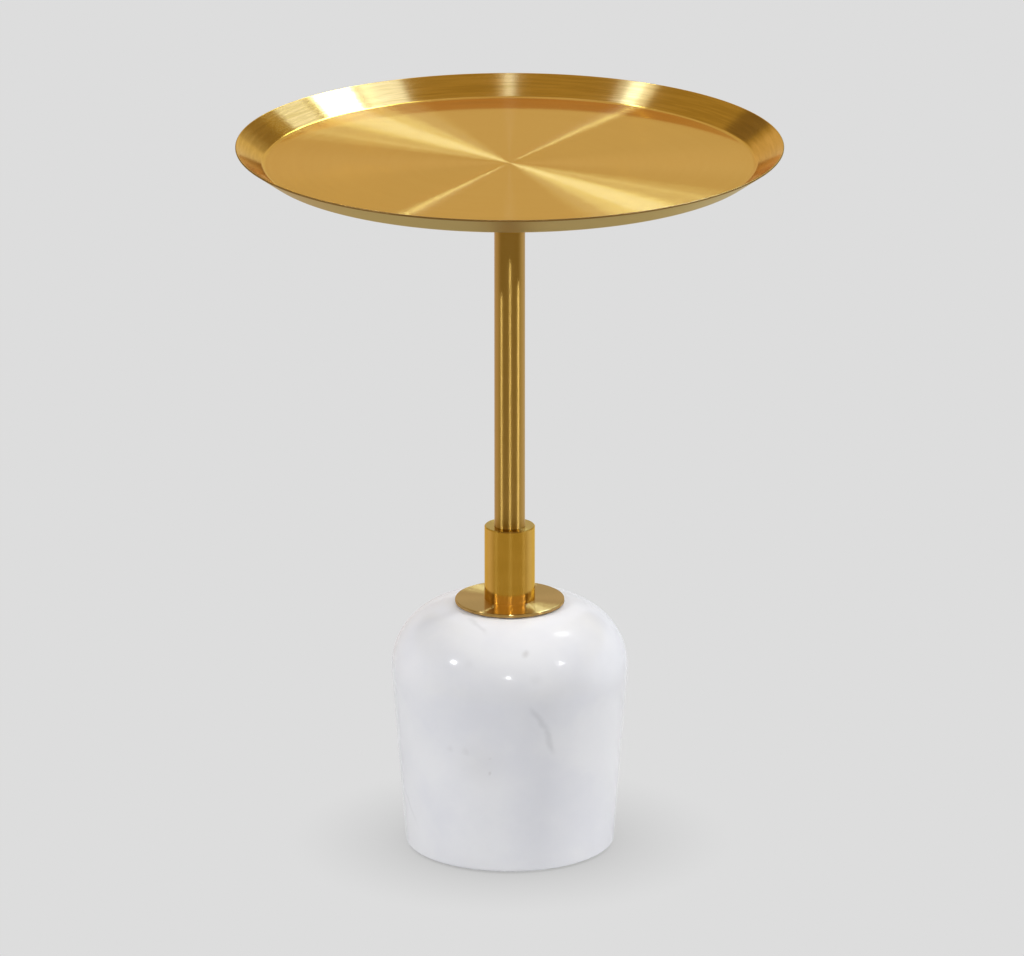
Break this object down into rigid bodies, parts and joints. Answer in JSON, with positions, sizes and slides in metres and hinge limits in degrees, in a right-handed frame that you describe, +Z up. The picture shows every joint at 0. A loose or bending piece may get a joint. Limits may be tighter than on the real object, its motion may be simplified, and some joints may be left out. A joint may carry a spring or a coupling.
{
  "type": "side table",
  "caption": "Round side table: a shallow gold metal tray with a flared rim, on a slim polished pole that stands in a collar and plate on a dome-topped white marble base.",
  "frame": {"origin": "on the floor, under the middle of the base", "axes": "+Z up along the pole, -Y towards the viewer of the picture, +X to that viewer's right"},
  "size_m": [0.45, 0.45, 0.604],
  "materials": {
    "tray_gold": "concentric brushed satin",
    "polished_gold": "mirror polished",
    "painted_gold": "satin",
    "white_marble": "polished",
    "zinc_steel": "zinc plated",
    "black_steel": "black oxide",
    "black_nylon": "matte",
    "clear_foam": "matte",
    "black_pad": "matte"
  },
  "bodies": {
    "pedestal": {"tray_stud": "zinc_steel", "pole": "polished_gold", "pole_top_plug": "zinc_steel", "pole_foot_plug": "zinc_steel", "collar": "polished_gold", "collar_grub_screw": "black_steel", "flange_plate": "polished_gold", "flange_gasket": "clear_foam", "marble_base": "white_marble", "tie_rod": "zinc_steel", "clamp_plate": "zinc_steel", "rod_flat_washer": "zinc_steel", "rod_spring_washer": "black_steel", "rod_nut": "zinc_steel", "floor_pad": "black_pad"},
    "thread_washer": {"tray_washer": "black_nylon"},
    "tray_top": {"tray": "tray_gold", "tray_backing_plate": "painted_gold", "tray_boss": "polished_gold"}
  },
  "joints": [
    {"name": "tray_turn", "type": "hinge", "parent": "pedestal", "child": "thread_washer", "pos_m": [0, 0, 0.567], "axis": [0, 0, 1], "range_deg": [0, 2160]},
    {"name": "tray_lift", "type": "slide", "parent": "thread_washer", "child": "tray_top", "axis": [0, 0, 1], "range_m": [0, 0.009]}
  ],
  "couplings": [
    {"joint": "tray_lift", "follows": "tray_turn", "m_per_rad": 0.00023873}
  ]
}
